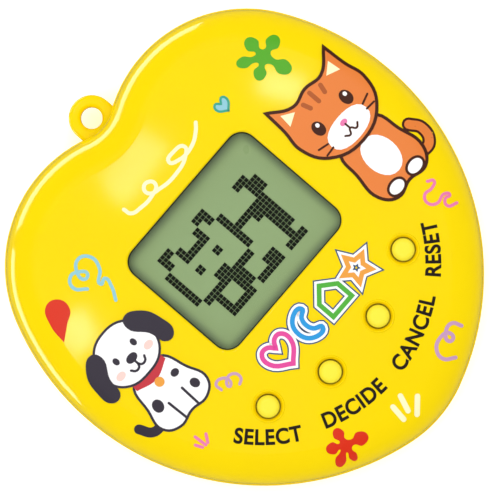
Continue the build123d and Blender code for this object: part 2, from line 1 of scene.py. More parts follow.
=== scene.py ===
"""Virtual pet keychain: the visual model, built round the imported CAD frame. Blender units are metres."""
from math import atan2, cos, hypot, pi, radians, sin

import bpy
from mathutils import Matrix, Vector


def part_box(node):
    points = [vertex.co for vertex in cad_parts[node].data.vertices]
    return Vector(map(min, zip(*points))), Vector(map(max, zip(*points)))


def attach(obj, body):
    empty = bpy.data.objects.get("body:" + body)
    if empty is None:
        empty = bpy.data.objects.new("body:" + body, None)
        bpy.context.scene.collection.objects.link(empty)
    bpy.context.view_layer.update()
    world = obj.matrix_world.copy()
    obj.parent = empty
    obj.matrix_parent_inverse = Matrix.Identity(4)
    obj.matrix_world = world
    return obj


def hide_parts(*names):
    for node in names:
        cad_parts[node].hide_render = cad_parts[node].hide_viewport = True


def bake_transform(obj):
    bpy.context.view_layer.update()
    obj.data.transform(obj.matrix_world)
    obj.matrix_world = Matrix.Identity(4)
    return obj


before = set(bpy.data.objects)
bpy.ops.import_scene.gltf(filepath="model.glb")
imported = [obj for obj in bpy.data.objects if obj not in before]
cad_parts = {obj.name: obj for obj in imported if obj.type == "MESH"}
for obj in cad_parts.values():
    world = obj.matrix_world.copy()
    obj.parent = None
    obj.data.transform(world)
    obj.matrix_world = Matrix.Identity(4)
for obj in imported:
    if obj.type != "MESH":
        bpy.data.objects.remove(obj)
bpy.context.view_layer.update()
bpy.ops.object.select_all(action="DESELECT")


# Back half of the case and its battery door. Both are injection moulded in bright yellow ABS, in polished
# tools, so the skin is glossy with a faint orange-peel ripple and the colour drifts very slightly.
mm = 0.001
case_yellow = "FFE000"
case_yellow_deep = "FBD800"


def linear(code):
    """The linear colour of an sRGB hex code, with full alpha."""
    parts = [int(code[place:place + 2], 16) / 255 for place in (0, 2, 4)]
    return [p / 12.92 if p <= 0.04045 else ((p + 0.055) / 1.055) ** 2.4 for p in parts] + [1.0]


def add_node(material, kind, settings={}, values={}, links={}):
    """Adds a node: its own settings, the values on its sockets, and the outputs linked to its sockets."""
    node = material.node_tree.nodes.new(kind)
    for name, setting in settings.items():
        setattr(node, name, setting)
    for socket, value in values.items():
        node.inputs[socket].default_value = value
    for socket, (source, output) in links.items():
        material.node_tree.links.new(source.outputs[output], node.inputs[socket])
    return node


def finish(name, colour, drift, roughness, patch, grain, relief, **values):
    """A material whose colour drifts between two shades, under a fine relief. Sizes are in metres."""
    material = bpy.data.materials.new(name)
    material.use_nodes = True
    material.node_tree.nodes.clear()
    place = add_node(material, "ShaderNodeTexCoord")
    patches = add_node(material, "ShaderNodeTexNoise", values={"Scale": 1 / patch, "Detail": 3.0},
                       links={"Vector": (place, "Object")})
    shade = add_node(material, "ShaderNodeMix", {"data_type": "RGBA"},
                     {6: linear(colour), 7: linear(drift)}, {0: (patches, "Fac")})
    gloss = add_node(material, "ShaderNodeMapRange",
                     values={"To Min": roughness * 0.8, "To Max": roughness * 1.2},
                     links={"Value": (patches, "Fac")})
    grains = add_node(material, "ShaderNodeTexNoise", values={"Scale": 1 / grain, "Detail": 2.0},
                      links={"Vector": (place, "Object")})
    ripple = add_node(material, "ShaderNodeBump", values={"Strength": 1.0, "Distance": relief},
                      links={"Height": (grains, "Fac")})
    surface = add_node(material, "ShaderNodeBsdfPrincipled", {"name": "surface"},
                       {socket.replace("_", " "): value for socket, value in values.items()},
                       {"Base Color": (shade, 2), "Roughness": (gloss, "Result"),
                        "Normal": (ripple, "Normal")})
    add_node(material, "ShaderNodeOutputMaterial", {"name": "output"}, {}, {"Surface": (surface, "BSDF")})
    return material


def wear(material, *nodes):
    """Gives CAD nodes a material."""
    for node in nodes:
        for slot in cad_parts[node].material_slots:
            slot.material = material


polished_yellow_abs = finish("polished_yellow_abs", case_yellow, case_yellow_deep, 0.1,
                             9 * mm, 1.6 * mm, 0.0006 * mm, IOR=1.53)
wear(polished_yellow_abs, "back_case", "battery_door")


# Button cells in the battery bay: nickel-plated steel cans and caps, spun smooth, with a faint drawn grain.
# The bent contacts and the link on the door are bright spring steel, and all the screws are zinc-plated steel.
nickel_plated_steel = finish("nickel_plated_steel", "C9C7C1", "B3B1AB", 0.26,
                             2.5 * mm, 0.3 * mm, 0.002 * mm, Metallic=1.0)
wear(nickel_plated_steel, "battery_cell_left", "battery_cell_right", "crystal")
zinc_plated_screw = finish("zinc_plated_screw", "C4C6C9", "A8A9AD", 0.34,
                           1.2 * mm, 0.25 * mm, 0.003 * mm, Metallic=1.0)
wear(zinc_plated_screw, "door_screw", "case_screw_left", "case_screw_right", "case_screw_tip",
     "board_screw_upper_left", "board_screw_upper_right", "board_screw_lower_left", "board_screw_lower_right")
spring_steel = finish("spring_steel", "BFC0BE", "9D9E9C", 0.3, 1.5 * mm, 0.2 * mm, 0.002 * mm, Metallic=1.0)
wear(spring_steel, "battery_contact_left", "battery_contact_right", "door_link")


# Thin hook-up wires to the battery contacts and the buzzer: soft PVC insulation, extruded, so it is smooth
# with a dull shine and small handling marks.
red_pvc = finish("red_pvc", "C41E1A", "A81512", 0.38, 2 * mm, 0.3 * mm, 0.004 * mm, IOR=1.53)
black_pvc = finish("black_pvc", "1B1B1C", "262628", 0.4, 2 * mm, 0.3 * mm, 0.004 * mm, IOR=1.53)
wear(red_pvc, "battery_wire_red", "buzzer_wire_red")
wear(black_pvc, "battery_wire_black", "buzzer_wire_black")


# Buzzer: a rolled brass disc with a silvered piezo ceramic bonded on it. The brass has a warm, finely drawn
# shine, and the fired silver on the ceramic is pale and nearly matt.
rolled_brass = finish("rolled_brass", "C9A45A", "B48C44", 0.3, 3 * mm, 0.25 * mm, 0.003 * mm, Metallic=1.0)
silvered_ceramic = finish("silvered_ceramic", "DDDBD2", "C9C6BC", 0.45,
                          1.5 * mm, 0.2 * mm, 0.004 * mm, IOR=1.6)
wear(rolled_brass, "buzzer_disc")
wear(silvered_ceramic, "buzzer_ceramic")


# Circuit board: glass-fibre laminate under green solder mask, with gold-plated copper pads for the keys and
# the display. A blob of cast black resin seals the chip, and the small parts are ceramic and resin.
solder_mask = finish("solder_mask_laminate", "1C6B35", "175C2D", 0.32,
                     4 * mm, 0.35 * mm, 0.004 * mm, IOR=1.55)
gold_plate = finish("gold_plated_copper", "E2B95C", "CFA246", 0.24,
                    1.5 * mm, 0.2 * mm, 0.002 * mm, Metallic=1.0)
cast_resin = finish("cast_black_resin", "101011", "1A1A1B", 0.22, 3 * mm, 1.0 * mm, 0.01 * mm, IOR=1.55)
fired_ceramic = finish("fired_tan_ceramic", "A98B66", "957751", 0.5, 0.6 * mm, 0.1 * mm, 0.004 * mm, IOR=1.6)
wear(solder_mask, "circuit_board")
wear(gold_plate, "key_contacts", "display_contacts")
wear(cast_resin, "chip_blob", "resistor")
wear(fired_ceramic, "capacitor_left", "capacitor_right")


# Liquid crystal display: two float-glass plates in a moulded white frame, with a polarising film in front, a
# polariser with a satin reflector behind, and zebra strips that join it to the board.
satin_reflector = finish("satin_reflector", "9DB886", "98B380", 0.45, 6 * mm, 0.25 * mm, 0.004 * mm, IOR=1.49)
white_styrene = finish("moulded_white_styrene", "E9E9E4", "DEDED8", 0.35,
                       8 * mm, 0.5 * mm, 0.003 * mm, IOR=1.57)
conductive_rubber = finish("conductive_rubber", "2A2A2C", "3A3A3C", 0.6,
                           3 * mm, 0.3 * mm, 0.01 * mm, IOR=1.42)
wear(satin_reflector, "lcd_rear_glass", "lcd_rear_polariser")
wear(white_styrene, "lcd_frame")
wear(conductive_rubber, "zebra_strip_upper", "zebra_strip_lower")


def pick_faces(piece, wanted):
    """Leaves the piece in edit mode with only the wanted faces selected."""
    bpy.ops.object.mode_set(mode="EDIT")
    bpy.ops.mesh.select_mode(type="FACE")
    bpy.ops.mesh.select_all(action="DESELECT")
    bpy.ops.object.mode_set(mode="OBJECT")
    for face in piece.data.polygons:
        face.select = wanted(face)
    bpy.ops.object.mode_set(mode="EDIT")


# Front glass of the display, with its grey-green polarising film laminated on: a ground glass plate whose
# edges are broken by a fine bevel, and the satin film standing a little inside them.
glass_low, glass_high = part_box("lcd_front_glass")
film_low, film_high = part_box("lcd_front_polariser")
film_margin = film_low.x - glass_low.x
film_height_share = (film_high.y - film_low.y) / (glass_high.y - glass_low.y - 2 * film_margin)
ground_edge = 0.08 * mm
bpy.ops.mesh.primitive_cube_add(size=1, location=(glass_low + glass_high) / 2,
                                scale=(glass_high - glass_low))
front_glass = bpy.context.object
front_glass.name = "display_front_glass"
bpy.ops.object.transform_apply(location=True, rotation=True, scale=True)
pick_faces(front_glass, lambda face: face.normal.z > 0.9)
bpy.ops.mesh.inset(thickness=film_margin)
bpy.ops.transform.resize(value=(1, film_height_share, 1), center_override=((film_low + film_high) / 2))
bpy.ops.mesh.extrude_region_move(TRANSFORM_OT_translate={"value": (0, 0, film_high.z - film_low.z)})
bpy.ops.object.mode_set(mode="OBJECT")
broken_edge = front_glass.modifiers.new("ground_edge", "BEVEL")
broken_edge.width = ground_edge
broken_edge.segments = 2
bpy.ops.object.modifier_apply(modifier="ground_edge")
window_width, window_height, window_corner = 23.5 * mm, 18.4 * mm, 2.2 * mm
lens_low, lens_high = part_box("window_lens")
window_middle = (lens_low + lens_high) / 2
# The window's deep rim would keep light off the reflector's border, and that shade is painted into the film's
# colour:
# how far in from the window's sides the painted shade is gone, how far outside them it is full, and how much it
# rounds the corners.
shade_gone, shade_full, shade_rounding = 1.6 * mm, -0.4 * mm, 1.0 * mm
satin_film = finish("satin_film_painted_rim_shade", "98AF7D", "92A977", 0.3,
                    7 * mm, 0.2 * mm, 0.0015 * mm, IOR=1.49)
film_place = add_node(satin_film, "ShaderNodeTexCoord")
from_middle = add_node(satin_film, "ShaderNodeVectorMath", {"operation": "SUBTRACT"}, {1: window_middle},
                       {0: (film_place, "Object")})
beside = add_node(satin_film, "ShaderNodeVectorMath", {"operation": "ABSOLUTE"},
                  links={0: (from_middle, "Vector")})
to_rim = add_node(satin_film, "ShaderNodeVectorMath", {"operation": "SUBTRACT"},
                  {0: (window_width / 2, window_height / 2, 0)}, {1: (beside, "Vector")})
sides = add_node(satin_film, "ShaderNodeSeparateXYZ", links={"Vector": (to_rim, "Vector")})
nearest = add_node(satin_film, "ShaderNodeMath", {"operation": "SMOOTH_MIN"}, {2: shade_rounding},
                   {0: (sides, "X"), 1: (sides, "Y")})
past_painted_shade = add_node(satin_film, "ShaderNodeMapRange", {"interpolation_type": "SMOOTHSTEP"},
               {"From Min": shade_full, "From Max": shade_gone}, {"Value": (nearest, "Value")})
film_surface = satin_film.node_tree.nodes["surface"]
film_shade = film_surface.inputs["Base Color"].links[0].from_node
# Painted rim shade: towards the window's sides the film's colour turns to this dark green.
painted_rim_shade = add_node(satin_film, "ShaderNodeMix", {"data_type": "RGBA"}, {6: linear("66755A")},
                      {0: (past_painted_shade, "Result"), 7: (film_shade, 2)})
satin_film.node_tree.links.new(painted_rim_shade.outputs[2], film_surface.inputs["Base Color"])
front_glass.data.materials.append(satin_film)
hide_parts("lcd_front_glass", "lcd_front_polariser")
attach(front_glass, "case")


# A foam gasket between the lens and the display keeps dust out. Its dark colour is painted shade, standing in
# for the shadow inside the window's rim. It is die-cut, so its walls are square and its skin is matt, and it
# shows as a thin dark line just inside the window.
gasket_show, gasket_width, gasket_gap = 0.14 * mm, 1.0 * mm, 0.02 * mm
gasket_past = 2 * (gasket_width - gasket_show)
bpy.ops.mesh.primitive_plane_add(size=1,
                                 location=(window_middle.x, window_middle.y, film_high.z + gasket_gap))
gasket = bpy.context.object
gasket.name = "window_gasket"
gasket.scale = (window_width + gasket_past, window_height + gasket_past, 1)
bpy.ops.object.transform_apply(location=True, rotation=True, scale=True)
bpy.ops.object.mode_set(mode="EDIT")
bpy.ops.mesh.select_mode(type="VERT")
bpy.ops.mesh.select_all(action="SELECT")
bpy.ops.mesh.bevel(offset=window_corner + gasket_past / 2, segments=10, affect="VERTICES")
bpy.ops.mesh.select_mode(type="FACE")
bpy.ops.mesh.select_all(action="SELECT")
bpy.ops.mesh.inset(thickness=gasket_width)
bpy.ops.mesh.delete(type="FACE")
bpy.ops.object.mode_set(mode="OBJECT")
foam_depth = gasket.modifiers.new("foam_depth", "SOLIDIFY")
foam_depth.thickness = lens_low.z - film_high.z - 2 * gasket_gap
foam_depth.offset = 1
bpy.ops.object.modifier_apply(modifier="foam_depth")
# Painted shade: the foam's dark olive stands in for the shadow under the window's rim.
painted_shade_foam = finish("die_cut_foam_painted_shade", "3E4530", "343B28", 0.85, 1.2 * mm, 0.12 * mm, 0.02 * mm, IOR=1.45)
gasket.data.materials.append(painted_shade_foam)
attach(gasket, "case")


# The pet on the display is a pattern of square cells of dark liquid crystal, seen at the face of the film.
# Each dot of the drawing is two cells by two, with hairline gaps between the cells.
dot = 1.12 * mm
cell_line = 0.045 * mm
above_film = 0.01 * mm
pet = (".##....##.......",
       ".#.#..#.#....##.",
       "#..####..#....##",
       "#........#....##",
       "#..#..#..######.",
       "#........#..###.",
       "#...##...#...##.",
       ".########....##.",
       "..#..##......##.",
       "..#..##..##..#..",
       "..####.####.###.")
pet_left, pet_bottom = -9.6 * mm, -2.6 * mm
columns, rows = len(pet[0]), len(pet)
bpy.ops.mesh.primitive_grid_add(
    x_subdivisions=2 * columns, y_subdivisions=2 * rows, size=1,
    location=(pet_left + columns * dot / 2, pet_bottom + rows * dot / 2, film_high.z + above_film))
display_pet = bpy.context.object
display_pet.name = "display_pet"
display_pet.scale = (columns * dot, rows * dot, 1)
bpy.ops.object.transform_apply(location=True, rotation=True, scale=True)


def unlit(face):
    """Whether a cell is a gap in the pet's drawing."""
    column = int((face.center.x - pet_left) / dot)
    row = int((face.center.y - pet_bottom) / dot)
    return pet[rows - 1 - row][column] == "."


pick_faces(display_pet, unlit)
bpy.ops.mesh.delete(type="FACE")
bpy.ops.mesh.select_all(action="SELECT")
bpy.ops.mesh.inset(thickness=cell_line / 2, use_individual=True)
bpy.ops.mesh.select_all(action="INVERT")
bpy.ops.mesh.delete(type="FACE")
bpy.ops.object.mode_set(mode="OBJECT")
liquid_crystal = finish("dark_liquid_crystal", "070A06", "0B0F09", 0.6, 4 * mm, 0.3 * mm, 0.001 * mm, IOR=1.5)
display_pet.data.materials.append(liquid_crystal)
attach(display_pet, "case")


# Front half of the case, in the same polished yellow ABS as the back, with the clear acrylic window set
# into it from inside.
wear(polished_yellow_abs, "front_case")


def clear_sheet(name, tint, ior, roughness):
    """A thin clear sheet: light goes straight through, and its faces reflect more at low angles."""
    material = bpy.data.materials.new(name)
    material.use_nodes = True
    material.node_tree.nodes.clear()
    place = add_node(material, "ShaderNodeTexCoord")
    haze = add_node(material, "ShaderNodeTexNoise", values={"Scale": 1 / (6 * mm), "Detail": 2.0},
                    links={"Vector": (place, "Object")})
    gloss = add_node(material, "ShaderNodeMapRange",
                     values={"To Min": roughness * 0.7, "To Max": roughness * 1.3},
                     links={"Value": (haze, "Fac")})
    through = add_node(material, "ShaderNodeBsdfTransparent", values={"Color": linear(tint)})
    mirror = add_node(material, "ShaderNodeBsdfAnisotropic", links={"Roughness": (gloss, "Result")})
    grazing = add_node(material, "ShaderNodeFresnel", values={"IOR": ior})
    side = add_node(material, "ShaderNodeNewGeometry")
    outside = add_node(material, "ShaderNodeMix", values={3: 0.0},
                       links={0: (side, "Backfacing"), 2: (grazing, "Fac")})
    both = add_node(material, "ShaderNodeMixShader", links={0: (outside, 0), 1: (through, "BSDF"),
                                                            2: (mirror, "BSDF")})
    add_node(material, "ShaderNodeOutputMaterial", {}, {}, {"Surface": (both, "Shader")})
    return material


clear_acrylic = clear_sheet("clear_acrylic", "FDFEFD", 1.25, 0.04)
wear(clear_acrylic, "window_lens")


# Keys: four small domed caps in a paler yellow ABS, each on a silicone dome with a carbon pill under it. The
# mat and its domes are one moulding of translucent silicone, which has a soft, slightly greasy sheen.
key_yellow_abs = finish("pale_yellow_abs", "FFF040", "FFEC30", 0.22, 3 * mm, 0.8 * mm, 0.002 * mm, IOR=1.53)
silicone = finish("translucent_silicone", "CFCFC9", "C2C2BC", 0.5, 3 * mm, 0.4 * mm, 0.008 * mm, IOR=1.41)
carbon_pill = finish("carbon_pill", "161616", "1F1F1F", 0.7, 1 * mm, 0.15 * mm, 0.01 * mm, IOR=1.5)
for key in ("select", "decide", "cancel", "reset"):
    wear(key_yellow_abs, f"{key}_button")
    wear(carbon_pill, f"{key}_pill")
wear(silicone, "keypad_mat")


# Rubber domes, moulded in one with the mat: a thin conical web from a foot ring up to the column that the key
# stands on. It bends and snaps down as the key is pressed, which brings the pill onto its contact.
dome_web = 0.35 * mm
web_steps = 5
for key in ("select", "decide", "cancel", "reset"):
    dome_low, dome_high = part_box(f"{key}_dome")
    mat_low, mat_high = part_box("keypad_mat")
    pill_low, pill_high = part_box(f"{key}_pill")
    middle = (dome_low + dome_high) / 2
    dome_radius = (dome_high.x - dome_low.x) / 2
    column_radius = (pill_high.x - pill_low.x) / 2
    mat_thickness = mat_high.z - mat_low.z
    inner_foot = (dome_radius - 2 * dome_web, dome_low.z + dome_web)
    inner_root = (column_radius, pill_high.z)
    outer_root = (column_radius, pill_high.z + dome_web + mat_thickness / 2)
    profile = [inner_root]
    for step in range(1, web_steps + 1):
        along = step / web_steps
        profile.append((inner_root[0] + (inner_foot[0] - inner_root[0]) * along,
                        inner_root[1] + (inner_foot[1] - inner_root[1]) * along))
    profile += [(inner_foot[0], dome_low.z), (dome_radius, dome_low.z), (dome_radius, mat_high.z)]
    for step in range(1, web_steps + 1):
        along = step / web_steps
        profile.append((dome_radius + (outer_root[0] - dome_radius) * along,
                        mat_high.z + (outer_root[1] - mat_high.z) * along))
    profile.append((column_radius, dome_high.z))
    bpy.ops.mesh.primitive_circle_add(vertices=48, radius=profile[0][0], fill_type="NOTHING",
                                      location=(middle.x, middle.y, profile[0][1]))
    dome = bpy.context.object
    dome.name = f"{key}_rubber_dome"
    bpy.ops.object.transform_apply(location=True, rotation=True, scale=True)
    bpy.ops.object.mode_set(mode="EDIT")
    bpy.ops.mesh.select_mode(type="EDGE")
    bpy.ops.mesh.select_all(action="SELECT")
    for (radius, height), (next_radius, next_height) in zip(profile, profile[1:]):
        bpy.ops.mesh.extrude_region_move(TRANSFORM_OT_translate={"value": (0, 0, next_height - height)})
        bpy.ops.transform.resize(value=(next_radius / radius, next_radius / radius, 1),
                                 center_override=(middle.x, middle.y, next_height))
    bpy.ops.mesh.select_all(action="SELECT")
    bpy.ops.mesh.fill_holes(sides=0)
    bpy.ops.mesh.normals_make_consistent(inside=False)
    bpy.ops.object.mode_set(mode="OBJECT")
    soft_edge = dome.modifiers.new("soft_edge", "BEVEL")
    soft_edge.width = 0.05 * mm
    soft_edge.segments = 2
    soft_edge.limit_method = "ANGLE"
    soft_edge.angle_limit = radians(30)
    bpy.ops.object.modifier_apply(modifier="soft_edge")
    bpy.ops.object.shade_smooth_by_angle(angle=radians(35))
    dome.data.materials.append(silicone)
    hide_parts(f"{key}_dome")
    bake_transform(dome)
    bpy.ops.object.select_all(action="DESELECT")


# Round each key the case has a low moulded collar, part of the same polished yellow skin. It rises gently
# from the key and drops at a small step, which shows as a fine ring. Its profile is radius and height in mm.
ring_profile = ((1.7, -0.02), (1.8, 0.05), (1.9, 0.1), (2.0, 0.14), (2.06, 0.14), (2.12, 0.08), (2.18, -0.02))
for key in ("select", "decide", "cancel", "reset"):
    key_low, key_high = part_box(f"{key}_button")
    key_middle = (key_low + key_high) / 2
    bpy.ops.mesh.primitive_circle_add(vertices=96, radius=ring_profile[0][0] * mm, fill_type="NOTHING",
                                      location=(key_middle.x, key_middle.y, key_high.z))
    ring = bpy.context.object
    ring.name = f"{key}_ring"
    bpy.ops.object.transform_apply(location=True, rotation=True, scale=True)
    bpy.ops.object.mode_set(mode="EDIT")
    bpy.ops.mesh.select_mode(type="EDGE")
    bpy.ops.mesh.select_all(action="SELECT")
    for (radius, _), (next_radius, _) in zip(ring_profile, ring_profile[1:]):
        bpy.ops.mesh.extrude_region_move()
        bpy.ops.transform.resize(value=(next_radius / radius, next_radius / radius, 1),
                                 center_override=(key_middle.x, key_middle.y, key_high.z))
    bpy.ops.object.mode_set(mode="OBJECT")
    pick_faces(ring, lambda face: face.normal.z < 0)
    bpy.ops.mesh.flip_normals()
    bpy.ops.object.mode_set(mode="OBJECT")
    seat = ring.modifiers.new("seat", "SHRINKWRAP")
    seat.wrap_method = "PROJECT"
    seat.use_project_z = True
    seat.use_negative_direction = True
    seat.use_positive_direction = False
    seat.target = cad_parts["front_case"]
    bpy.ops.object.modifier_apply(modifier="seat")
    for point in ring.data.vertices:
        reach = hypot(point.co.x - key_middle.x, point.co.y - key_middle.y) / mm
        point.co.z += min(ring_profile, key=lambda corner: abs(corner[0] - reach))[1] * mm
    bpy.ops.object.shade_smooth()
    ring.data.materials.append(polished_yellow_abs)
    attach(ring, "case")
    bpy.ops.object.select_all(action="DESELECT")


# Printed artwork: pad-printed ink on the front of the case, each colour a film a few hundredths of a millimetre
# thick. Outlines are drawn flat in millimetres, cut into cells and pressed down onto the case, and an open pen
# line climbs a very little along its way, so that it passes over itself.
first_film = 0.03 * mm
film_step = 0.012 * mm
film_cell = 0.5
stroke_rise, cap_rise = 0.005, 0.007
face_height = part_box("front_case")[1].z
bpy.ops.object.select_all(action="DESELECT")


def ink(name, colour):
    """Cured pad-printing ink: satin, with a faint stipple from the silicone pad."""
    return finish("ink_" + name, colour, colour, 0.32, 2 * mm, 0.12 * mm, 0.0015 * mm, IOR=1.5)


def draw(paths, closed, pen=0):
    """A flat mesh of smooth outlines, filled, or drawn with a pen of that width. (x, y, 0) is a corner."""
    drawing = bpy.data.curves.new("drawing", "CURVE")
    drawing.dimensions = "2D"
    drawing.resolution_u = 6
    for path in paths:
        spline = drawing.splines.new("BEZIER")
        spline.bezier_points.add(len(path) - 1)
        spline.use_cyclic_u = closed
        for knot, (x, y, *corner) in zip(spline.bezier_points, path):
            knot.handle_left_type = knot.handle_right_type = "VECTOR" if corner else "AUTO"
            knot.co = (x, y, 0)
    if pen:
        nib = bpy.data.curves.new("nib", "CURVE")
        edge = nib.splines.new("POLY")
        edge.points.add(1)
        edge.points[0].co, edge.points[1].co = (-pen / 2, 0, 0, 1), (pen / 2, 0, 0, 1)
        drawing.bevel_mode = "OBJECT"
        drawing.bevel_object = bpy.data.objects.new("nib", nib)
        bpy.context.scene.collection.objects.link(drawing.bevel_object)
    else:
        drawing.fill_mode = "BOTH"
    flat = bpy.data.objects.new("drawing", drawing)
    bpy.context.scene.collection.objects.link(flat)
    bpy.ops.object.select_all(action="DESELECT")
    bpy.context.view_layer.objects.active = flat
    flat.select_set(True)
    bpy.ops.object.convert(target="MESH")
    flats = [bpy.context.object]
    if pen:
        bpy.data.objects.remove(drawing.bevel_object)
        points = flats[0].data.vertices
        for place, point in enumerate(points):
            point.co.z = 0 if closed else stroke_rise * place / len(points)
        ends = [path[end][:2] for path in paths for end in (0, -1)] if not closed else []
        for end in ends:
            bpy.ops.mesh.primitive_circle_add(vertices=14, radius=pen / 2, fill_type="NGON",
                                              location=(*end, cap_rise))
            flats.append(bpy.context.object)
    return flats


def oval(x, y, wide, high, turn=0):
    """The four knots of an oval."""
    turn = radians(turn)
    return [(x + wide * cos(a) * cos(turn) - high * sin(a) * sin(turn),
             y + wide * cos(a) * sin(turn) + high * sin(a) * cos(turn)) for a in (0, pi / 2, pi, 3 * pi / 2)]


def printed(name, colour, film, areas=(), lines=(), loops=(), pen=0.0):
    """Prints filled areas, open pen lines and closed pen loops in one colour, on the film of that number."""
    flats = []
    if areas:
        flats += draw(areas, True)
    if lines:
        flats += draw(lines, False, pen)
    if loops:
        flats += draw(loops, True, pen)
    press(name, colour, film, flats)


def press(name, colour, film, flats):
    """Joins flat drawings, cuts them finely enough to bend, and presses them onto the case."""
    bpy.ops.object.select_all(action="DESELECT")
    for flat in flats:
        flat.select_set(True)
    bpy.context.view_layer.objects.active = flats[0]
    if len(flats) > 1:
        bpy.ops.object.join()
    piece = bpy.context.object
    piece.name = name
    piece.scale = (mm, mm, mm)
    piece.location.z = face_height + mm
    bpy.ops.object.transform_apply(location=True, rotation=True, scale=True)
    corners = [[corner[side] / mm for corner in piece.bound_box] for side in (0, 1)]
    bpy.ops.object.mode_set(mode="EDIT")
    for side, normal in ((0, (1, 0, 0)), (1, (0, 1, 0))):
        low, high = min(corners[side]), max(corners[side])
        for cut in range(int(low / film_cell), int(high / film_cell) + 1):
            bpy.ops.mesh.select_all(action="SELECT")
            bpy.ops.mesh.bisect(plane_co=Vector(normal) * cut * film_cell * mm, plane_no=normal)
    bpy.ops.mesh.select_all(action="SELECT")
    bpy.ops.mesh.quads_convert_to_tris()
    pick_faces(piece, lambda face: face.normal.z < 0)
    bpy.ops.mesh.flip_normals()
    bpy.ops.object.mode_set(mode="OBJECT")
    rises = [point.co.z - face_height - mm for point in piece.data.vertices]
    pressing = piece.modifiers.new("pressing", "SHRINKWRAP")
    pressing.wrap_method = "PROJECT"
    pressing.use_project_z = True
    pressing.use_negative_direction = True
    pressing.use_positive_direction = False
    pressing.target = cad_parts["front_case"]
    pressing.offset = first_film + film * film_step
    bpy.ops.object.modifier_apply(modifier="pressing")
    for point, rise in zip(piece.data.vertices, rises):
        point.co.z += rise
    bpy.ops.object.shade_smooth()
    piece.data.materials.clear()
    piece.data.materials.append(colour)
    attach(piece, "case")


# Kitten, to the right of the window: a plain orange cat that sits and looks straight out, the same on both
# sides. Each part's colour is printed first, and a brown outline closes it in.
white_ink = ink("white", "FFFFFF")
cream_ink = ink("cream", "FFFAC8")
brown_ink = ink("brown", "4A2314")
orange_ink = ink("orange", "EC8236")
rust_ink = ink("rust", "B55A22")
pink_ink = ink("pink", "EE7AB0")
outline = 0.42
tail_width = 1.8
kitten_x = 20.7
kitten_head = [(14.4, 5.0), (14.8, 8.0), (15.0, 11.4, 0), (18.0, 9.3), (20.7, 9.7), (23.4, 9.3),
               (26.4, 11.4, 0), (26.6, 8.0), (27.0, 5.0), (25.4, 1.5), (20.7, -0.3), (16.0, 1.5)]
kitten_body = [(17.6, 1.0), (16.6, -2.8), (16.3, -6.6), (18.0, -8.5), (20.7, -8.1), (23.4, -8.5),
               (25.1, -6.6), (24.8, -2.8), (23.8, 1.0)]
kitten_tail = [(24.3, -7.0), (26.0, -6.9), (26.8, -5.0), (26.0, -3.4)]
printed("kitten_tail_edge", brown_ink, 0, lines=[kitten_tail], pen=tail_width)
printed("kitten_tail", orange_ink, 1, lines=[kitten_tail], pen=tail_width - 1.5 * outline)
printed("kitten_body", orange_ink, 2, [kitten_body])
printed("kitten_belly", white_ink, 3, [oval(kitten_x, -3.3, 2.2, 3.0)])
printed("kitten_body_line", brown_ink, 4, loops=[kitten_body], pen=outline)
kitten_feet = [oval(kitten_x - 1.8, -7.5, 1.3, 0.95), oval(kitten_x + 1.8, -7.5, 1.3, 0.95)]
printed("kitten_feet", white_ink, 5, kitten_feet)
printed("kitten_feet_line", brown_ink, 6, loops=kitten_feet, pen=outline * 0.8)
printed("kitten_head", orange_ink, 7, [kitten_head])
printed("kitten_muzzle", white_ink, 8, [oval(kitten_x, 2.2, 3.4, 1.9)])
printed("kitten_ears", cream_ink, 8, [[(15.8, 7.9, 0), (16.0, 9.8, 0), (17.6, 8.7, 0)],
                                      [(25.6, 7.9, 0), (25.4, 9.8, 0), (23.8, 8.7, 0)]])
printed("kitten_stripes", rust_ink, 8, pen=0.6, lines=[[(20.7, 8.9), (20.7, 7.3)], [(19.0, 8.5), (19.3, 7.5)],
                                                       [(22.4, 8.5), (22.1, 7.5)]])
printed("kitten_head_line", brown_ink, 9, loops=[kitten_head], pen=outline)
printed("kitten_eyes", brown_ink, 9, [oval(kitten_x - 2.7, 5.0, 0.8, 1.05),
                                      oval(kitten_x + 2.7, 5.0, 0.8, 1.05)])
printed("kitten_gleams", white_ink, 10, [oval(kitten_x - 2.5, 5.4, 0.27, 0.3),
                                         oval(kitten_x + 2.9, 5.4, 0.27, 0.3)])
printed("kitten_nose", pink_ink, 9, [oval(kitten_x, 3.1, 0.55, 0.38)])
printed("kitten_face_lines", brown_ink, 10, pen=0.26,
        lines=[[(20.7, 2.8), (20.7, 2.0)], [(19.5, 1.8), (20.1, 1.4), (20.7, 2.0), (21.3, 1.4), (21.9, 1.8)],
               [(17.3, 2.8), (15.9, 3.2)], [(17.4, 2.0), (16.1, 1.9)], [(24.1, 2.8), (25.5, 3.2)],
               [(24.0, 2.0), (25.3, 1.9)]])


# Puppy, to the left of the window: a plain white dog with two hanging ears and a collar tag, seen from in
# front. The tail and the white body go on first, and the dark ears last, over the head.
slate_ink = ink("slate", "3A3440")
amber_ink = ink("amber", "F2A33C")
crimson_ink = ink("crimson", "C9303C")
blush_ink = ink("blush", "F9D5CC")
puppy_x = -20.0
puppy_head = [(-24.4, 4.7), (-23.2, 7.7), (-20.0, 8.9), (-16.8, 7.7), (-15.6, 4.7), (-16.7, 2.1),
              (-20.0, 1.1), (-23.3, 2.1)]
puppy_ears = [[(-23.2, 8.2), (-25.3, 7.2), (-26.4, 4.4), (-26.1, 2.1), (-24.7, 1.9), (-23.9, 4.4),
               (-22.5, 6.9)],
              [(-16.8, 8.2), (-14.7, 7.2), (-13.6, 4.4), (-13.9, 2.1), (-15.3, 1.9), (-16.1, 4.4),
               (-17.5, 6.9)]]
puppy_body = [(-22.4, 1.6), (-23.8, -2.0), (-24.4, -5.0), (-22.6, -6.5), (-20.0, -6.2), (-17.4, -6.5),
              (-15.6, -5.0), (-16.2, -2.0), (-17.6, 1.6)]
puppy_tail = [(-23.8, -4.6), (-25.5, -4.3), (-26.4, -2.7)]
printed("puppy_tail", slate_ink, 0, lines=[puppy_tail], pen=1.3)
printed("puppy_white", white_ink, 1, [puppy_body])
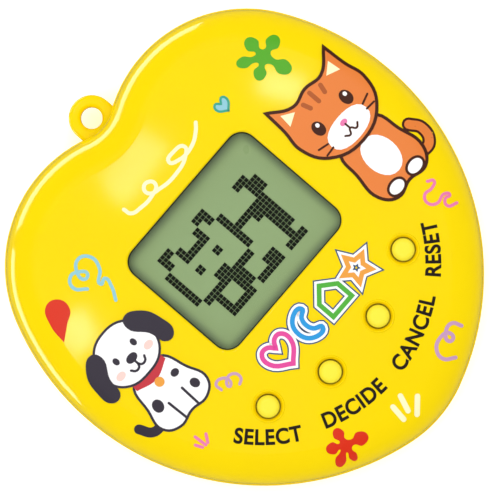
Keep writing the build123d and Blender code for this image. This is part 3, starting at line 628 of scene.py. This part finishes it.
printed("puppy_spots", slate_ink, 2, [oval(-22.5, -2.6, 0.75, 0.9, -15), oval(-17.8, -1.4, 0.6, 0.5),
                                      oval(-17.1, -4.2, 0.6, 0.7, 10)])
printed("puppy_body_line", slate_ink, 3, loops=[puppy_body], pen=outline * 0.8,
        lines=[[(-21.3, -3.4), (-21.2, -6.2)], [(-18.7, -3.4), (-18.8, -6.2)]])
printed("puppy_collar", crimson_ink, 4, [[(-22.7, 1.9, 0), (-20.0, 1.0), (-17.3, 1.9, 0),
                                          (-17.2, 0.7, 0), (-20.0, -0.2), (-22.8, 0.7, 0)]])
printed("puppy_tag", amber_ink, 5, [oval(puppy_x, -0.7, 0.65, 0.65)])
printed("puppy_head_white", white_ink, 6, [puppy_head])
printed("puppy_blush", blush_ink, 7, [oval(puppy_x - 2.7, 3.5, 0.7, 0.5),
                                      oval(puppy_x + 2.7, 3.5, 0.7, 0.5)])
printed("puppy_features", slate_ink, 8, [oval(puppy_x - 1.7, 5.2, 0.4, 0.52),
                                         oval(puppy_x + 1.7, 5.2, 0.4, 0.52),
                                         oval(puppy_x, 4.0, 0.85, 0.58)])
printed("puppy_head_line", slate_ink, 8, loops=[puppy_head], pen=outline * 0.75,
        lines=[[(-20.0, 3.6), (-20.0, 2.9)],
               [(-21.3, 3.0), (-20.9, 2.5), (-20.3, 2.5), (-20.0, 2.9)],
               [(-20.0, 2.9), (-19.7, 2.5), (-19.1, 2.5), (-18.7, 3.0)]])
printed("puppy_ears", slate_ink, 9, puppy_ears)


# Loose doodles round the face: two splats, a teardrop, a heart, five curls and some short strokes. Each is
# one flat ink on the first film, and only the heart has a second colour.
red_ink = ink("red", "DF2A00")
green_ink = ink("green", "55AE1E")
lilac_ink = ink("lilac", "C99BC0")
sky_ink = ink("sky", "8FCBD8")
teal_ink = ink("teal", "2FA58C")
broad_pen, fine_pen = 0.5, 0.4


def splat(x, y, neck, lobes):
    """The outline of a paint splat: round lobes, given as distance, angle and radius, on short necks."""
    knots = []
    for far, angle, size in lobes:
        out, across = (cos(radians(angle)), sin(radians(angle))), (-sin(radians(angle)), cos(radians(angle)))
        for reach, side in ((far * 0.45, -neck), (far - size * 0.2, -size), (far + size, 0),
                            (far - size * 0.2, size), (far * 0.45, neck)):
            knots.append((x + reach * out[0] + side * across[0], y + reach * out[1] + side * across[1]))
    return knots


green_splat = splat(20.4, 16.4, 0.42, [(2.3, 8, 0.95), (2.3, 85, 0.95), (2.9, 147, 0.75), (2.3, 208, 0.85),
                                       (3.0, 283, 1.0)])
red_splat = splat(-10.6, -24.2, 0.4, [(1.8, 74, 0.75), (1.8, 145, 0.8), (2.3, 203, 0.7), (1.9, 255, 0.55),
                                      (2.2, 335, 0.95)])
printed("green_splat", green_ink, 0, [green_splat])
printed("red_splat", red_ink, 0, [red_splat])
printed("red_teardrop", red_ink, 0, [[(-24.2, 11.9, 0), (-23.7, 14.6), (-22.2, 16.7), (-20.5, 16.1),
                                      (-20.4, 14.2), (-22.2, 13.1)]])
printed("white_curl", cream_ink, 0, pen=broad_pen, lines=[[
    (-6.2, 17.2), (-6.0, 16.2), (-4.6, 15.7), (-2.6, 15.6), (-1.1, 16.2), (-1.4, 17.1), (-2.4, 17.1),
    (-2.6, 16.2), (-1.0, 15.4), (1.5, 15.1), (4.2, 15.7), (5.0, 16.6), (3.6, 17.2), (2.2, 16.8), (3.2, 16.0),
    (5.6, 15.9), (7.5, 16.8), (8.3, 17.5)]])
printed("sky_curl", sky_ink, 0, pen=0.45, lines=[[
    (-17.0, 14.1), (-18.1, 15.6), (-17.2, 16.8), (-16.1, 16.4), (-15.5, 15.4), (-16.3, 15.2), (-16.2, 16.6),
    (-14.8, 17.5), (-13.6, 16.4), (-14.0, 14.6), (-15.4, 13.2), (-14.5, 13.3), (-14.7, 12.0), (-15.7, 10.4)]])
printed("teal_heart", teal_ink, 1, pen=0.3, lines=[[
    (12.2, 15.3, 0), (11.2, 16.5), (11.6, 17.1), (12.2, 16.6, 0), (12.9, 17.1), (13.2, 16.4), (12.2, 15.3, 0)]])
printed("teal_heart_middle", sky_ink, 0, [[(12.2, 15.4, 0), (11.3, 16.5), (11.7, 17.0), (12.2, 16.6, 0),
                                           (12.8, 17.0), (13.1, 16.4)]])
printed("lilac_curl", lilac_ink, 0, pen=broad_pen, lines=[[
    (7.2, -27.6), (6.0, -26.4), (6.4, -25.0), (7.8, -24.4), (9.0, -24.8), (8.9, -25.7), (8.2, -25.5),
    (8.8, -24.5), (10.2, -24.3), (10.8, -25.5)]])
printed("lilac_curl_left", lilac_ink, 0, pen=0.38, lines=[[
    (-15.6, -7.4), (-15.5, -6.4), (-14.4, -6.5), (-14.0, -7.5), (-14.6, -7.9), (-14.2, -7.1), (-13.0, -7.2),
    (-12.8, -8.3), (-13.5, -8.7)]])
printed("pink_curl", pink_ink, 0, pen=fine_pen, lines=[[
    (22.0, -10.0), (22.6, -10.6), (21.8, -11.0), (20.4, -10.9), (19.9, -11.9), (20.7, -12.8), (22.2, -12.7),
    (22.6, -13.3), (21.8, -13.2), (21.3, -14.0), (22.4, -14.7)]])
printed("pink_strokes", pink_ink, 0, pen=fine_pen,
        lines=[[(-23.2, -9.5), (-22.8, -10.4)], [(-22.4, -8.8), (-22.3, -10.5)],
               [(-21.2, -9.6), (-21.9, -10.5)]])
printed("white_strokes", cream_ink, 0, pen=0.72,
        lines=[[(-3.2, -27.7), (-2.9, -25.6)], [(-2.0, -27.4), (-1.2, -25.4)], [(-1.6, -28.6), (0.2, -27.1)]])


# Four toy symbols in a row under the window: a heart, a moon, a house and a star, each drawn as one thick
# coloured line with a white border and a fine navy edge, the edge printed first.
navy_ink = ink("navy", "31507A")
magenta_ink = ink("magenta", "E8479E")
blue_ink = ink("blue", "1E9BE0")
leaf_ink = ink("leaf", "52B43A")
edge_pen, border_pen, symbol_pen = 1.6, 1.25, 0.62
star_point, star_notch = 1.95, 1.0
symbols = {
    "heart": (magenta_ink, [(-7.0, -12.2, 0), (-9.1, -10.0), (-8.8, -8.4), (-7.8, -8.3), (-7.0, -9.2, 0),
                            (-6.2, -8.3), (-5.2, -8.4), (-4.9, -10.0)]),
    "moon": (blue_ink, [(-1.0, -8.4), (-2.6, -8.3), (-3.7, -10.2), (-2.6, -12.1), (-1.0, -12.0),
                        (-1.9, -11.2), (-2.2, -10.2), (-1.9, -9.2)]),
    "house": (leaf_ink, [(0.9, -12.2, 0), (0.9, -9.8, 0), (2.7, -8.2, 0), (4.5, -9.8, 0), (4.5, -12.2, 0)]),
    "star": (amber_ink, [(7.6 + reach * sin(pi * arm / 5), -10.3 + reach * cos(pi * arm / 5), 0)
                         for arm, reach in enumerate((star_point, star_notch) * 5)])}
for symbol, (colour, shape) in symbols.items():
    printed(f"{symbol}_edge", navy_ink, 0, loops=[shape], pen=edge_pen)
    printed(f"{symbol}_border", white_ink, 1, loops=[shape], pen=border_pen)
    printed(symbol, colour, 2, loops=[shape], pen=symbol_pen)


# Key legends: plain words in black ink under the keys, each bent along one arc round the window, in capitals
# that are set a little narrow and heavy. A capital takes up 0.7 of the font's size.
black_ink = ink("black", "241C18")
legend_height, capital_share = 1.95, 0.7
legend_squeeze = 0.93
legend_weight, legend_spacing = 0.08, 1.06
legend_cuts = 12
legends = {"SELECT": (-16.4, -16.0), "DECIDE": (-6.0, -21.8), "CANCEL": (6.2, -21.8), "RESET": (15.9, -16.3)}
arc_middle = (0.0, -0.8)
for word, (x, y) in legends.items():
    far = hypot(x - arc_middle[0], y - arc_middle[1])
    around = atan2(y - arc_middle[1], x - arc_middle[0]) + pi / 2
    bpy.ops.object.text_add(location=(0, 0, 0))
    label = bpy.context.object
    label.data.body = word
    label.data.size = legend_height / capital_share
    label.data.offset = legend_weight
    label.data.space_character = legend_spacing
    label.data.align_x, label.data.align_y = "CENTER", "CENTER"
    bpy.ops.object.convert(target="MESH")
    label = bpy.context.object
    bpy.ops.object.mode_set(mode="EDIT")
    for cut in range(-legend_cuts, legend_cuts + 1):
        bpy.ops.mesh.select_all(action="SELECT")
        bpy.ops.mesh.bisect(plane_co=(cut * film_cell, 0, 0), plane_no=(1, 0, 0))
    bpy.ops.object.mode_set(mode="OBJECT")
    for point in label.data.vertices:
        turn = around + legend_squeeze * point.co.x / far
        reach = far - point.co.y
        point.co = (arc_middle[0] + reach * sin(turn), arc_middle[1] - reach * cos(turn), 0)
    press(f"legend_{word.lower()}", black_ink, 0, [label])


# Floor: a plain white table with a matt, faintly glowing top. It shows only from above, so that the back of
# the toy can be seen too, and the toy's gloss doesn't mirror it.
table_size = 3
bpy.ops.mesh.primitive_plane_add(size=table_size, location=(0, 0, 0))
floor = bpy.context.object
floor.name = "table"
matt_white = finish("matt_white_table", "FFFFFF", "FDFDFD", 0.9, 50 * mm, 5 * mm, 0.001 * mm,
                    Emission_Color=(1, 1, 1, 1), Emission_Strength=0.35)
table_side = add_node(matt_white, "ShaderNodeNewGeometry")
see_through = add_node(matt_white, "ShaderNodeBsdfTransparent")
table_top = add_node(matt_white, "ShaderNodeMixShader",
                     links={0: (table_side, "Backfacing"), 1: (matt_white.node_tree.nodes["surface"], "BSDF"),
                            2: (see_through, "BSDF")})
table_output = matt_white.node_tree.nodes["output"]
matt_white.node_tree.links.new(table_top.outputs["Shader"], table_output.inputs["Surface"])
floor.data.materials.append(matt_white)
floor.visible_glossy = False


# Room: even white light from all round, while the gloss mirrors dim walls, so that polished plastic stays
# clean. The walls grow a little lighter well below the horizon, where bare metal would else look black.
wall_glow, below_glow = 0.06, 0.17
dim_above, light_below = -0.2, -0.6
world = bpy.data.worlds.new("studio")
world.use_nodes = True
soft_fill = world.node_tree.nodes["Background"]
soft_fill.inputs["Color"].default_value = (1, 1, 1, 1)
soft_fill.inputs["Strength"].default_value = 0.6
toward = add_node(world, "ShaderNodeTexCoord")
upward = add_node(world, "ShaderNodeSeparateXYZ", links={"Vector": (toward, "Generated")})
wall_light = add_node(world, "ShaderNodeMapRange",
                      values={"From Min": dim_above, "From Max": light_below,
                              "To Min": wall_glow, "To Max": below_glow}, links={"Value": (upward, "Z")})
dim_walls = add_node(world, "ShaderNodeBackground", values={"Color": (1, 1, 1, 1)},
                     links={"Strength": (wall_light, "Result")})
ray = add_node(world, "ShaderNodeLightPath")
room = add_node(world, "ShaderNodeMixShader", links={0: (ray, "Is Glossy Ray"), 1: (soft_fill, "Background"),
                                                     2: (dim_walls, "Background")})
world.node_tree.links.new(room.outputs["Shader"], world.node_tree.nodes["World Output"].inputs["Surface"])
bpy.context.scene.world = world


# Softboxes: name, the point in mm that it is aimed at, azimuth, elevation, distance, width, height, power, and
# whether it lights only the gloss. The overhead one lights the rest and leaves no reflection.
studio = (("overhead", (0, 0), 90, 82, 1.6, 1.8, 1.8, 18, False),
          ("edge_top", (0, 0), 88, -20, 0.8, 0.8, 0.3, 3.2, True),
          ("edge_left", (0, 0), 150, -20, 0.8, 0.7, 0.25, 2.4, True),
          ("glow_top", (-1.5, 19.6), 94.5, 77.2, 0.7, 0.1, 0.04, 0.05, True),
          ("glow_left", (-20.8, 11), 160.4, 71.2, 0.7, 0.05, 0.035, 0.035, True),
          ("glow_right", (18.4, 12), 24.5, 73, 0.7, 0.06, 0.035, 0.035, True))
for name, (over_x, over_y), azimuth, elevation, distance, width, height, power, gloss in studio:
    direction = Vector((cos(radians(azimuth)) * cos(radians(elevation)),
                        sin(radians(azimuth)) * cos(radians(elevation)), sin(radians(elevation))))
    bpy.ops.object.light_add(type="AREA", location=direction * distance + Vector((over_x, over_y, 0)) * mm)
    light = bpy.context.object
    light.name = name
    light.rotation_euler = direction.to_track_quat("Z", "Y").to_euler()
    light.data.shape = "RECTANGLE"
    light.data.size, light.data.size_y = width, height
    light.data.energy = power
    light.visible_glossy = gloss
    light.visible_diffuse = not gloss


# Camera: it looks straight down from well above, so the view is nearly without perspective, and it is turned
# so that the toy lies slantwise in the frame.
view_width = 64.17 * mm
view_middle = (0.42 * mm, 1.53 * mm)
view_turn = radians(-49.3)
camera_distance = 0.9
bpy.ops.object.camera_add(location=(*view_middle, face_height + camera_distance), rotation=(0, 0, view_turn))
camera = bpy.context.object
camera.data.sensor_width = 36
camera.data.lens = camera.data.sensor_width * camera_distance / view_width
bpy.context.scene.camera = camera
bpy.context.scene.view_settings.view_transform = "Standard"
